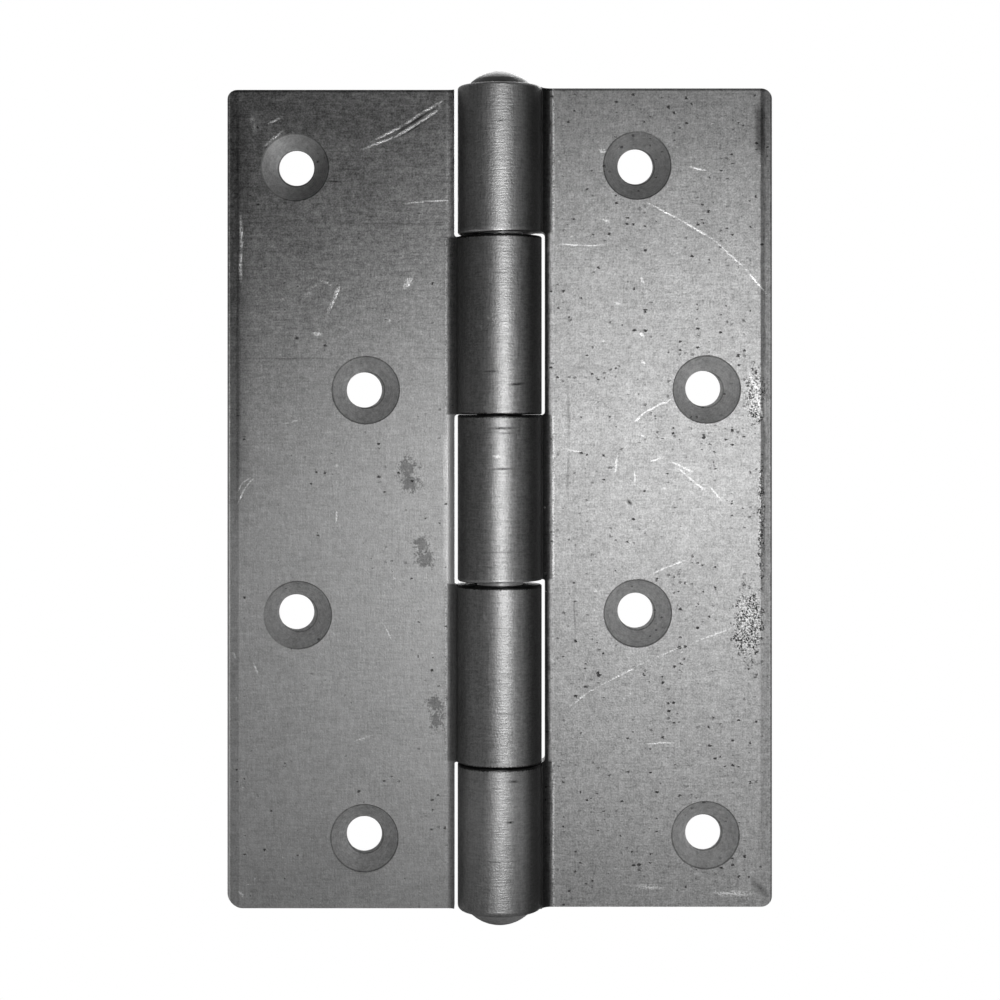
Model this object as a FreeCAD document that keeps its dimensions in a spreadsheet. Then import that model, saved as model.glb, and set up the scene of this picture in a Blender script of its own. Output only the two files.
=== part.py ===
import FreeCAD, Part
import math
import os
import Sketcher

# Five-knuckle butt hinge, lying open and flat.
# Pin axis on Z, countersunk face towards -Y, all sizes in millimetres.

os.makedirs("parts", exist_ok=True)
doc = FreeCAD.newDocument("butt_hinge")
V = FreeCAD.Vector

# ---------------------------------------------------------------- sizes
sheet = doc.addObject("Spreadsheet::Sheet", "Dims")
SIZES = [
    ("leaf_height", 152.4),        # height of each leaf along the pin
    ("leaf_reach", 50.8),          # pin axis to the outer edge of a leaf
    ("plate_thick", 3.5),          # thickness of the strip
    ("face_setback", 1.25),        # front face behind the pin axis
    ("knuckle_radius", 7.80),      # outside of the rolled knuckle
    ("bore_radius", 4.30),         # inside of the rolled knuckle
    ("neck_radius", 1.9),          # concave bend between plate and knuckle
    ("seam_angle", 33.0),          # where the rolled end stops, from +X
    ("notch_edge", 8.45),           # plate edge beside the other leaf's knuckle
    ("notch_corner", 0.6),         # inside corners of the notches
    ("right_top_knuckle_end", 49.40),     # inner ends of the top and bottom knuckles
    ("right_bottom_knuckle_end", 49.065),
    ("right_mid_knuckle_top", 15.435),    # ends of the middle knuckle
    ("right_mid_knuckle_bottom", 15.10),
    ("skew_top", 0.70),             # lower ends cut out of square: fall from the
    ("skew_mid", 0.35),             # leaf side to the free side, over the barrel
    ("left_knuckle_inner", 15.75),  # ends of the two knuckles of the left leaf
    ("left_knuckle_outer", 48.75),
    ("axial_play", 0.275),          # how far the left leaf sits below the right
    ("corner_tl", 1.8),            # plan radii of the four outer corners
    ("corner_bl", 3.0),
    ("corner_tr", 2.0),
    ("corner_br", 2.0),
    ("bevel_width", 2.2),          # rolled-down band along the outer edge
    ("bevel_drop", 0.35),
    ("edge_round", 0.5),           # front outer edge
    ("back_round", 0.3),           # back outer edge
    ("hole_diameter", 6.6),
    ("sink_diameter", 12.8),       # 90 degree countersinks
    ("hole_inner_x", 25.4),        # hole columns, from the pin axis
    ("hole_outer_x", 38.1),
    ("hole_row_near", 20.8),       # hole rows, from mid-height
    ("hole_row_far", 62.4),
    ("hole_row_shift", -0.45),     # the rows sit a little below mid-height
    ("sink_depth", 3.1),           # countersink depth, leaving a thin land
    ("pin_radius", 4.25),
    ("pin_head_radius", 5.9),
    ("pin_head_height", 2.9),
    ("pin_head_rim", 0.25),
    ("knuckle_round", 0.3),        # inner knuckle ends
    ("skew_round", 0.5),           # the ends that are out of square
    ("barrel_round_top", 0.5),     # two outer ends of the barrel
    ("barrel_round_bottom", 0.85),
]
# Each countersink is cut a little off its hole: offsets along X and Z.
SINKS = [
    ("right_sink_1", 0.22, -0.11), ("right_sink_2", 0.47, -0.22),
    ("right_sink_3", 0.32, -0.32), ("right_sink_4", 0.22, -0.02),
    ("left_sink_1", -0.04, -0.13), ("left_sink_2", 0.45, -0.06),
    ("left_sink_3", 0.50, -0.36), ("left_sink_4", 0.20, -0.32),
]
for tag, off_x, off_z in SINKS:
    SIZES += [(tag + "_x", off_x), (tag + "_z", off_z)]
D = {}
row = 1
for name, value in SIZES:
    sheet.set("A%d" % row, name)
    sheet.set("B%d" % row, repr(value))
    sheet.setAlias("B%d" % row, name)
    D[name] = value
    row += 1
doc.recompute()


def cell(text):
    """Turn plain names of sizes into references to the sheet."""
    out, word = [], ""
    for ch in text + " ":
        if ch.isalnum() or ch == "_":
            word += ch
        else:
            out.append("Dims." + word if word in D else word)
            out.append(ch)
            word = ""
    return "".join(out).strip()


def plane(body, role):
    for f in body.Origin.OriginFeatures:
        if getattr(f, "Role", "") == role:
            return f
    raise RuntimeError("no plane " + role)


def new_sketch(body, name, role, offset_z=0.0):
    sk = body.newObject("Sketcher::SketchObject", name)
    sk.AttachmentSupport = [(plane(body, role), "")]
    sk.MapMode = "FlatFace"
    if offset_z:
        sk.AttachmentOffset = FreeCAD.Placement(V(0, 0, offset_z), FreeCAD.Rotation())
    doc.recompute()
    return sk


def loop(sk, items, tag):
    """Draw one closed outline and tie every vertex and radius to the sheet.

    items: list of (x, y, expr_x, expr_y, segment) where segment describes the
    edge that leaves the vertex: None for a line, or
    (centre_x, centre_y, radius, expr_radius, ccw) for an arc.
    """
    n = len(items)
    first = sk.GeometryCount
    ends = []
    for i in range(n):
        x0, y0 = items[i][0], items[i][1]
        x1, y1 = items[(i + 1) % n][0], items[(i + 1) % n][1]
        seg = items[i][4]
        if seg is None:
            sk.addGeometry(Part.LineSegment(V(x0, y0, 0), V(x1, y1, 0)), False)
            ends.append((1, 2))
        else:
            cx, cy, r, er, ccw = seg
            a0 = math.atan2(y0 - cy, x0 - cx)
            a1 = math.atan2(y1 - cy, x1 - cx)
            circle = Part.Circle(V(cx, cy, 0), V(0, 0, 1), r)
            if ccw:
                if a1 < a0:
                    a1 += 2 * math.pi
                sk.addGeometry(Part.ArcOfCircle(circle, a0, a1), False)
                ends.append((1, 2))
            else:
                if a0 < a1:
                    a0 += 2 * math.pi
                sk.addGeometry(Part.ArcOfCircle(circle, a1, a0), False)
                ends.append((2, 1))
    for i in range(n):
        j = (i + 1) % n
        sk.addConstraint(Sketcher.Constraint(
            "Coincident", first + i, ends[i][1], first + j, ends[j][0]))
    binds = []
    for i in range(n):
        x0, y0, ex, ey, seg = items[i]
        cx_name, cy_name, cr_name = "%s_x%d" % (tag, i), "%s_y%d" % (tag, i), "%s_r%d" % (tag, i)
        k = sk.addConstraint(Sketcher.Constraint(
            "DistanceX", -1, 1, first + i, ends[i][0], x0))
        sk.renameConstraint(k, cx_name)
        binds.append((cx_name, ex))
        k = sk.addConstraint(Sketcher.Constraint(
            "DistanceY", -1, 1, first + i, ends[i][0], y0))
        sk.renameConstraint(k, cy_name)
        binds.append((cy_name, ey))
        if seg is not None:
            k = sk.addConstraint(Sketcher.Constraint("Radius", first + i, seg[2]))
            sk.renameConstraint(k, cr_name)
            binds.append((cr_name, seg[3]))
    for name, expr in binds:
        if expr is not None:
            sk.setExpression("Constraints." + name, cell(expr))
    return binds


# Derived positions of the rolled section.
R = D["knuckle_radius"]
B = D["bore_radius"]
NR = D["neck_radius"]
S = D["face_setback"]
T = D["plate_thick"]
NCY = S - NR                                   # centre of the neck bend
NCX = math.sqrt((R + NR) ** 2 - NCY ** 2)
E_NCX = "sqrt((knuckle_radius + neck_radius)^2 - (face_setback - neck_radius)^2)"
SA = math.radians(D["seam_angle"])


def leaf_section(body, sign):
    """Cross-section of a leaf: plate, neck, rolled knuckle open at the back."""
    s = sign
    xe = D["leaf_reach"]
    bw, bd, er, br = D["bevel_width"], D["bevel_drop"], D["edge_round"], D["back_round"]
    pts = [
        # front face, from the bevel to the neck
        (xe - bw, S, "leaf_reach - bevel_width", "face_setback", None),
        # concave neck on the front
        (NCX, S, E_NCX, "face_setback",
         (NCX, NCY, NR, "neck_radius", True)),
        # outside of the knuckle, round the front, the far side and the back
        (NCX * R / (R + NR), NCY * R / (R + NR),
         E_NCX + " * knuckle_radius / (knuckle_radius + neck_radius)",
         "(face_setback - neck_radius) * knuckle_radius / (knuckle_radius + neck_radius)",
         (0, 0, R, "knuckle_radius", False)),
        # end of the strip
        (R * math.cos(SA), R * math.sin(SA),
         "knuckle_radius * cos(seam_angle * 1 deg)", "knuckle_radius * sin(seam_angle * 1 deg)", None),
        # inside of the knuckle
        (B * math.cos(SA), B * math.sin(SA),
         "bore_radius * cos(seam_angle * 1 deg)", "bore_radius * sin(seam_angle * 1 deg)",
         (0, 0, B, "bore_radius", True)),
        # back of the neck
        (NCX * B / (R + NR), NCY * B / (R + NR),
         E_NCX + " * bore_radius / (knuckle_radius + neck_radius)",
         "(face_setback - neck_radius) * bore_radius / (knuckle_radius + neck_radius)",
         (NCX, NCY, NR + T, "neck_radius + plate_thick", False)),
        # back face
        (NCX, S + T, E_NCX, "face_setback + plate_thick", None),
        (xe - br, S + T, "leaf_reach - back_round", "face_setback + plate_thick",
         (xe - br, S + T - br, br, "back_round", False)),
        # outer edge
        (xe, S + T - br, "leaf_reach", "face_setback + plate_thick - back_round", None),
        (xe, S + bd + er, "leaf_reach", "face_setback + bevel_drop + edge_round",
         (xe - er, S + bd + er, er, "edge_round", False)),
        (xe - er, S + bd, "leaf_reach - edge_round", "face_setback + bevel_drop", None),
    ]
    items = []
    for (x, y, ex, ey, seg) in pts:
        if s < 0:
            if seg is not None:
                seg = (-seg[0], seg[1], seg[2], seg[3], not seg[4])
            items.append((-x, y, "-(" + ex + ")", ey, seg))
        else:
            items.append((x, y, ex, ey, seg))
    sk = new_sketch(body, "section_" + body.Label, "XY_Plane")
    loop(sk, items, "p")
    doc.recompute()
    return sk


def outline_items(sign, knuckles, r_top, e_top, r_bot, e_bot):
    """Plan outline of one leaf, its knuckles reaching past the pin axis.

    knuckles: list of (z_high, z_low, expr_high, expr_low, skew), from the top
    down; a knuckle flush with a leaf end has expr None on that side. skew names
    the cell that says how far its lower end falls towards the free side, or None.
    """
    H = D["leaf_height"] / 2.0
    eH = "leaf_height / 2"
    xe = D["leaf_reach"]
    far = -(R + 2.0)
    e_far = "-(knuckle_radius + 2)"
    ne = D["notch_edge"]
    c = D["notch_corner"]
    ec = "notch_corner"
    pts = []
    # outer edge, from the top corner down
    pts.append((xe - r_top, H, "leaf_reach - " + e_top, eH,
                (xe - r_top, H - r_top, r_top, e_top, False)))
    pts.append((xe, H - r_top, "leaf_reach", eH + " - " + e_top, None))
    pts.append((xe, -H + r_bot, "leaf_reach", "-(" + eH + ") + " + e_bot,
                (xe - r_bot, -H + r_bot, r_bot, e_bot, False)))
    pts.append((xe - r_bot, -H, "leaf_reach - " + e_bot, "-(" + eH + ")", None))
    # inner side, from the bottom up
    z, ez = -H, "-(" + eH + ")"
    first = True
    for (zh, zl, eh, el, skew) in reversed(knuckles):
        if el is None:
            pts.append((far, -H, e_far, "-(" + eH + ")", None))
        else:
            if first:
                pts.append((ne, -H, "notch_edge", "-(" + eH + ")", None))
            # corner between the notch edge and the end of the knuckle
            pts.append((ne, zl - c, "notch_edge", el + " - " + ec,
                        (ne - c, zl - c, c, ec, True)))
            pts.append((ne - c, zl, "notch_edge - " + ec, el, None))
            if skew is None:
                pts.append((far, zl, e_far, el, None))
            else:
                pts.append((far, zl - D[skew], e_far, el + " - " + skew, None))
        if eh is None:
            pts.append((far, H, e_far, eH, None))
        else:
            pts.append((far, zh, e_far, eh, None))
            pts.append((ne - c, zh, "notch_edge - " + ec, eh,
                        (ne - c, zh + c, c, ec, True)))
            pts.append((ne, zh + c, "notch_edge", eh + " + " + ec, None))
        first = False
    if knuckles[0][2] is not None:
        pts.append((ne, H, "notch_edge", eH, None))
    items = []
    for (x, y, ex, ey, seg) in pts:
        if sign < 0:
            if seg is not None:
                seg = (-seg[0], seg[1], seg[2], seg[3], not seg[4])
            items.append((-x, y, "-(" + ex + ")", ey, seg))
        else:
            items.append((x, y, ex, ey, seg))
    return items


def make_leaf(name, sign, knuckles, r_top, e_top, r_bot, e_bot, holes):
    body = doc.addObject("PartDesign::Body", name)
    body.Label = name
    doc.recompute()

    sec = leaf_section(body, sign)
    pad = body.newObject("PartDesign::Pad", "strip_" + name)
    pad.Profile = sec
    pad.Midplane = True
    pad.Length = D["leaf_height"]
    pad.setExpression("Length", cell("leaf_height"))
    sec.Visibility = False
    doc.recompute()
    v0 = body.Shape.Volume

    # everything outside the plan outline is cut away
    sk = new_sketch(body, "outline_" + name, "XZ_Plane")
    big_x, big_y = D["leaf_reach"] + 20.0, D["leaf_height"] / 2.0 + 20.0
    loop(sk, [
        (-big_x, -big_y, "-(leaf_reach + 20)", "-(leaf_height / 2 + 20)", None),
        (big_x, -big_y, "leaf_reach + 20", "-(leaf_height / 2 + 20)", None),
        (big_x, big_y, "leaf_reach + 20", "leaf_height / 2 + 20", None),
        (-big_x, big_y, "-(leaf_reach + 20)", "leaf_height / 2 + 20", None),
    ], "b")
    loop(sk, outline_items(sign, knuckles, r_top, e_top, r_bot, e_bot), "o")
    doc.recompute()
    cut = body.newObject("PartDesign::Pocket", "trim_" + name)
    cut.Profile = sk
    cut.Type = "ThroughAll"
    cut.Midplane = True
    sk.Visibility = False
    doc.recompute()
    v1 = body.Shape.Volume
    if not v1 < v0 - 100:
        raise RuntimeError(name + ": the outline cut nothing")

    # countersunk screw holes, drilled from the front face
    hs = new_sketch(body, "hole_centres_" + name, "XZ_Plane", -S)
    hs.setExpression(".AttachmentOffset.Base.z", "-Dims.face_setback")
    binds = []
    for i, (hx, hz, ehx, ehz) in enumerate(holes):
        g = hs.addGeometry(Part.Circle(V(hx, hz, 0), V(0, 0, 1), D["hole_diameter"] / 2.0), False)
        k = hs.addConstraint(Sketcher.Constraint("DistanceX", -1, 1, g, 3, hx))
        hs.renameConstraint(k, "hx%d" % i)
        binds.append(("hx%d" % i, ehx))
        k = hs.addConstraint(Sketcher.Constraint("DistanceY", -1, 1, g, 3, hz))
        hs.renameConstraint(k, "hz%d" % i)
        binds.append(("hz%d" % i, ehz))
        k = hs.addConstraint(Sketcher.Constraint("Diameter", g, D["hole_diameter"]))
        hs.renameConstraint(k, "hd%d" % i)
        binds.append(("hd%d" % i, "hole_diameter"))
    for nm, ex in binds:
        hs.setExpression("Constraints." + nm, cell(ex))
    doc.recompute()
    hole = body.newObject("PartDesign::Hole", "screw_holes_" + name)
    hole.Profile = hs
    doc.recompute()
    hole.Threaded = False
    hole.DepthType = "ThroughAll"
    hole.Diameter = D["hole_diameter"]
    hole.HoleCutType = "None"
    hole.setExpression("Diameter", cell("hole_diameter"))
    hs.Visibility = False
    doc.recompute()
    v2 = body.Shape.Volume
    one = math.pi * (D["hole_diameter"] / 2) ** 2 * T
    if not abs((v1 - v2) - 4 * one) < 0.02 * one:
        raise RuntimeError("%s: the holes cut %.1f mm3" % (name, v1 - v2))

    # the cone opens at 45 degrees a side and reaches past the front face
    depth, over = D["sink_depth"], 0.3
    side = name.split("_")[1]
    for i, (hx, hz, ehx, ehz) in enumerate(holes):
        tag = "%s_sink_%d" % (side, i + 1)
        cone = body.newObject("PartDesign::SubtractiveCone", tag)
        cone.AttachmentSupport = [(plane(body, "XZ_Plane"), "")]
        cone.MapMode = "FlatFace"
        cone.AttachmentOffset = FreeCAD.Placement(
            V(hx + D[tag + "_x"], hz + D[tag + "_z"], -(S + depth)), FreeCAD.Rotation())
        cone.setExpression(".AttachmentOffset.Base.x", cell(ehx + " + " + tag + "_x"))
        cone.setExpression(".AttachmentOffset.Base.y", cell(ehz + " + " + tag + "_z"))
        cone.setExpression(".AttachmentOffset.Base.z", cell("-(face_setback + sink_depth)"))
        cone.Radius1 = D["sink_diameter"] / 2 - depth
        cone.Radius2 = D["sink_diameter"] / 2 + over
        cone.Height = depth + over
        cone.setExpression("Radius1", cell("sink_diameter / 2 - sink_depth"))
        cone.setExpression("Radius2", cell("sink_diameter / 2 + 0.3"))
        cone.setExpression("Height", cell("sink_depth + 0.3"))
        before = body.Shape.Volume
        doc.recompute()
        cone.Visibility = False
        if not body.Shape.Volume < before - 100:
            raise RuntimeError(tag + " cut nothing")
    body.Tip.Visibility = True
    return body


def round_ends(body, sign, ends):
    """Round the outside corners of the knuckle ends.

    One groove carries every corner. It starts at the end of the strip and
    stops where the knuckle runs into the neck.
    ends: list of (z, outward, key, expr_z).
    """
    neck = math.degrees(math.atan2(-NCY, NCX))
    e_neck = "asin((neck_radius - face_setback) / (knuckle_radius + neck_radius))"
    if sign > 0:
        start, e_start = D["seam_angle"], "Dims.seam_angle * 1 deg"
    else:
        start, e_start = 180.0 + neck, "180 deg + " + cell(e_neck)
    sk = new_sketch(body, "corner_cuts_" + body.Label, "XZ_Plane")
    sk.AttachmentOffset = FreeCAD.Placement(
        V(0, 0, 0), FreeCAD.Rotation(V(0, 1, 0), start))
    sk.setExpression(".AttachmentOffset.Rotation.Angle", e_start)
    for i, (z, o, key, ez) in enumerate(ends):
        rd = D[key]
        sg = " - " if o > 0 else " + "
        ag = " + " if o > 0 else " - "
        pts = [
            (R - rd, z, "knuckle_radius - " + key, ez,
             (R - rd, z - o * rd, rd, key, o < 0)),
            (R, z - o * rd, "knuckle_radius", ez + sg + key, None),
            (R + 0.5, z - o * rd, "knuckle_radius + 0.5", ez + sg + key, None),
            (R + 0.5, z + o * 0.2, "knuckle_radius + 0.5", ez + ag + "0.2", None),
            (R - rd, z + o * 0.2, "knuckle_radius - " + key, ez + ag + "0.2", None),
        ]
        loop(sk, pts, "c%d" % i)
    doc.recompute()
    before = body.Shape.Volume
    g = body.newObject("PartDesign::Groove", "knuckle_rounds_" + body.Label)
    g.Profile = sk
    g.ReferenceAxis = (sk, ["V_Axis"])
    g.Angle = 360.0 - D["seam_angle"] - neck
    g.setExpression("Angle", "360 deg - Dims.seam_angle * 1 deg - " + cell(e_neck))
    sk.Visibility = False
    doc.recompute()
    if not body.Shape.Volume < before - 1.0:
        raise RuntimeError(body.Label + ": the knuckle rounds cut nothing")
    return g


H = D["leaf_height"] / 2.0
TK, BK = D["right_top_knuckle_end"], D["right_bottom_knuckle_end"]
MT, MB = D["right_mid_knuckle_top"], D["right_mid_knuckle_bottom"]
LI, LO = D["left_knuckle_inner"], D["left_knuckle_outer"]
hi, ho = D["hole_inner_x"], D["hole_outer_x"]
rn, rf, rs = D["hole_row_near"], D["hole_row_far"], D["hole_row_shift"]

leaf_right = make_leaf(
    "leaf_right", 1,
    [(H, TK, None, "right_top_knuckle_end", "skew_top"),
     (MT, -MB, "right_mid_knuckle_top", "-(right_mid_knuckle_bottom)", "skew_mid"),
     (-BK, -H, "-(right_bottom_knuckle_end)", None, None)],
    D["corner_tr"], "corner_tr", D["corner_br"], "corner_br",
    [(hi, rf + rs, "hole_inner_x", "hole_row_far + hole_row_shift"),
     (ho, rn + rs, "hole_outer_x", "hole_row_near + hole_row_shift"),
     (hi, -rn + rs, "hole_inner_x", "-(hole_row_near) + hole_row_shift"),
     (ho, -rf + rs, "hole_outer_x", "-(hole_row_far) + hole_row_shift")])

leaf_left = make_leaf(
    "leaf_left", -1,
    [(LO, LI, "left_knuckle_outer", "left_knuckle_inner", None),
     (-LI, -LO, "-(left_knuckle_inner)", "-(left_knuckle_outer)", None)],
    D["corner_tl"], "corner_tl", D["corner_bl"], "corner_bl",
    [(-ho, rf + rs, "-(hole_outer_x)", "hole_row_far + hole_row_shift"),
     (-hi, rn + rs, "-(hole_inner_x)", "hole_row_near + hole_row_shift"),
     (-ho, -rn + rs, "-(hole_outer_x)", "-(hole_row_near) + hole_row_shift"),
     (-hi, -rf + rs, "-(hole_inner_x)", "-(hole_row_far) + hole_row_shift")])

round_ends(leaf_right, 1, [
    (H, 1, "barrel_round_top", "leaf_height / 2"),
    (TK - 0.85 * D["skew_top"], -1, "skew_round", "right_top_knuckle_end - 0.85 * skew_top"),
    (MT, 1, "knuckle_round", "right_mid_knuckle_top"),
    (-MB - 0.85 * D["skew_mid"], -1, "skew_round", "-(right_mid_knuckle_bottom) - 0.85 * skew_mid"),
    (-BK, 1, "knuckle_round", "-(right_bottom_knuckle_end)"),
    (-H, -1, "barrel_round_bottom", "-(leaf_height / 2)"),
])
round_ends(leaf_left, -1, [
    (LO, 1, "knuckle_round", "left_knuckle_outer"),
    (LI, -1, "knuckle_round", "left_knuckle_inner"),
    (-LI, 1, "knuckle_round", "-(left_knuckle_inner)"),
    (-LO, -1, "knuckle_round", "-(left_knuckle_outer)"),
])

# The left leaf hangs lower by the play between the knuckles.
leaf_left.Placement = FreeCAD.Placement(V(0, 0, -D["axial_play"]), FreeCAD.Rotation())
leaf_left.setExpression(".Placement.Base.z", "-Dims.axial_play")

# ------------------------------------------------------------------ pin
pin = doc.addObject("PartDesign::Body", "pin")
pin.Label = "pin"
doc.recompute()
PR, HR, HH, RIM = D["pin_radius"], D["pin_head_radius"], D["pin_head_height"], D["pin_head_rim"]
cap = HH - RIM
DOME = (HR ** 2 + cap ** 2) / (2 * cap)
e_dome = ("(pin_head_radius^2 + (pin_head_height - pin_head_rim)^2)"
          " / (2 * (pin_head_height - pin_head_rim))")
ps = new_sketch(pin, "half_section_pin", "XZ_Plane")
loop(ps, [
    (0.0, -(H + HH), None, "-(leaf_height / 2 + pin_head_height)",
     (0.0, -(H + HH) + DOME, DOME, e_dome, True)),
    (HR, -(H + RIM), "pin_head_radius", "-(leaf_height / 2 + pin_head_rim)", None),
    (HR, -H, "pin_head_radius", "-(leaf_height / 2)", None),
    (PR, -H, "pin_radius", "-(leaf_height / 2)", None),
    (PR, H, "pin_radius", "leaf_height / 2", None),
    (HR, H, "pin_head_radius", "leaf_height / 2", None),
    (HR, H + RIM, "pin_head_radius", "leaf_height / 2 + pin_head_rim",
     (0.0, H + HH - DOME, DOME, e_dome, True)),
    (0.0, H + HH, None, "leaf_height / 2 + pin_head_height", None),
], "q")
doc.recompute()
rev = pin.newObject("PartDesign::Revolution", "turned_pin")
rev.Profile = ps
rev.ReferenceAxis = (ps, ["V_Axis"])
rev.Angle = 360.0
ps.Visibility = False
doc.recompute()

# ---------------------------------------------------------------- checks
for obj in doc.Objects:
    state = list(getattr(obj, "State", []))
    if "Invalid" in state or "Error" in state:
        raise RuntimeError("%s is not valid: %s" % (obj.Label, state))
for body in (leaf_right, leaf_left, pin):
    shape = body.Shape
    if shape.isNull() or not shape.isValid() or len(shape.Solids) != 1:
        raise RuntimeError(body.Label + ": the solid is not valid")
    bb = shape.BoundBox
    print("%s volume %.1f mm3, x %.2f..%.2f y %.2f..%.2f z %.2f..%.2f" % (
        body.Label, shape.Volume, bb.XMin, bb.XMax, bb.YMin, bb.YMax, bb.ZMin, bb.ZMax))

for body in (leaf_right, leaf_left, pin):
    body.Shape.exportStep("parts/%s.step" % body.Label)
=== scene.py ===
import math

import bpy
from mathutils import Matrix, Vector


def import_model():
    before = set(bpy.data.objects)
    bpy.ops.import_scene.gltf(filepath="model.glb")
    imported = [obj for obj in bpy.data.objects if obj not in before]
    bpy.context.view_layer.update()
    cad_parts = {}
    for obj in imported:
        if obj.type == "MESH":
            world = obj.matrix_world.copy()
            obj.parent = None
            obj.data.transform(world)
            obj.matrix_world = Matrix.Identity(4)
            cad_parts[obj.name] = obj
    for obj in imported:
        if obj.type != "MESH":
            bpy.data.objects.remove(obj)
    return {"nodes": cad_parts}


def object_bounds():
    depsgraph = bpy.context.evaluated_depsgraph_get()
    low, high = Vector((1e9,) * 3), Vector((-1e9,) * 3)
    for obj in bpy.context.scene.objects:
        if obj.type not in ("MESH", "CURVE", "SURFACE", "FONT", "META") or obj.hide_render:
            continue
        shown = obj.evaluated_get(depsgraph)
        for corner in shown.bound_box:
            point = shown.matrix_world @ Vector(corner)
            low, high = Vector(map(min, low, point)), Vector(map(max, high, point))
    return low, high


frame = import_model()
CAD_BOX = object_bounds()

MM = 0.001
NODES = frame["nodes"]

# ------------------------------------------------------------------ node help


class Graph:
    """A small writer for shader node trees."""

    def __init__(self, tree):
        self.t = tree
        self.n = tree.nodes
        self.l = tree.links

    def node(self, kind, **props):
        nd = self.n.new(kind)
        for k, v in props.items():
            setattr(nd, k, v)
        return nd

    def put(self, value, socket):
        if value is None:
            return
        if hasattr(value, "is_output"):
            self.l.new(value, socket)
        else:
            socket.default_value = value

    def math(self, op, a, b=None, c=None, clamp=False):
        nd = self.node("ShaderNodeMath", operation=op, use_clamp=clamp)
        self.put(a, nd.inputs[0])
        self.put(b, nd.inputs[1])
        self.put(c, nd.inputs[2])
        return nd.outputs[0]

    def add(self, a, b):
        return self.math("ADD", a, b)

    def sub(self, a, b):
        return self.math("SUBTRACT", a, b)

    def mul(self, a, b):
        return self.math("MULTIPLY", a, b)

    def maxi(self, a, b):
        return self.math("MAXIMUM", a, b)

    def vmath(self, op, a, b=None):
        nd = self.node("ShaderNodeVectorMath", operation=op)
        self.put(a, nd.inputs[0])
        if b is not None:
            self.put(b, nd.inputs[1])
        return nd.outputs["Value"] if op in ("LENGTH", "DOT_PRODUCT", "DISTANCE") else nd.outputs[0]

    def sep(self, v):
        nd = self.node("ShaderNodeSeparateXYZ")
        self.put(v, nd.inputs[0])
        return nd.outputs[0], nd.outputs[1], nd.outputs[2]

    def comb(self, x, y, z):
        nd = self.node("ShaderNodeCombineXYZ")
        self.put(x, nd.inputs[0])
        self.put(y, nd.inputs[1])
        self.put(z, nd.inputs[2])
        return nd.outputs[0]

    def band(self, v, a, b, to0=0.0, to1=1.0, kind="SMOOTHSTEP"):
        nd = self.node("ShaderNodeMapRange", interpolation_type=kind, clamp=True)
        self.put(v, nd.inputs["Value"])
        self.put(a, nd.inputs["From Min"])
        self.put(b, nd.inputs["From Max"])
        self.put(to0, nd.inputs["To Min"])
        self.put(to1, nd.inputs["To Max"])
        return nd.outputs["Result"]

    def noise(self, v, scale, detail=4.0, rough=0.55, distort=0.0):
        nd = self.node("ShaderNodeTexNoise")
        self.put(v, nd.inputs["Vector"])
        nd.inputs["Scale"].default_value = scale
        nd.inputs["Detail"].default_value = detail
        nd.inputs["Roughness"].default_value = rough
        nd.inputs["Distortion"].default_value = distort
        return nd.outputs[0]

    def cells(self, v, scale, feature="F1", randomness=1.0):
        nd = self.node("ShaderNodeTexVoronoi", feature=feature)
        self.put(v, nd.inputs["Vector"])
        nd.inputs["Scale"].default_value = scale
        nd.inputs["Randomness"].default_value = randomness
        return nd.outputs["Distance"], nd.outputs["Color"]

    def mix(self, f, a, b):
        nd = self.node("ShaderNodeMix", data_type="FLOAT")
        self.put(f, nd.inputs[0])
        self.put(a, nd.inputs[2])
        self.put(b, nd.inputs[3])
        return nd.outputs[0]

    def grey(self, v):
        return self.comb(v, v, v)

    def after(self, v, done):
        """The vector v, ordered after the value done in the compiled shader."""
        nd = self.node("ShaderNodeVectorMath", operation="MULTIPLY_ADD")
        self.put(done, nd.inputs[0])
        nd.inputs[1].default_value = (1e-7, 1e-7, 1e-7)
        self.put(v, nd.inputs[2])
        return nd.outputs[0]


def lens_mark(G, P, A, B, half):
    """A thin lens-shaped mark from A to B (mm in the leaf plane), as a 0..1 mask."""
    dx, dz = B[0] - A[0], B[1] - A[1]
    length = max(math.hypot(dx, dz), 0.01)
    mp = G.node("ShaderNodeMapping", vector_type="TEXTURE")
    G.put(P, mp.inputs["Vector"])
    mp.inputs["Location"].default_value = ((A[0] + B[0]) / 2, 0.0, (A[1] + B[1]) / 2)
    mp.inputs["Rotation"].default_value = (0.0, -math.atan2(dz, dx), 0.0)
    mp.inputs["Scale"].default_value = (length * 0.62 + half, 1.0, half)
    d = G.vmath("LENGTH", mp.outputs[0])
    return G.math("SUBTRACT", 1.0, d, clamp=True)


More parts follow.
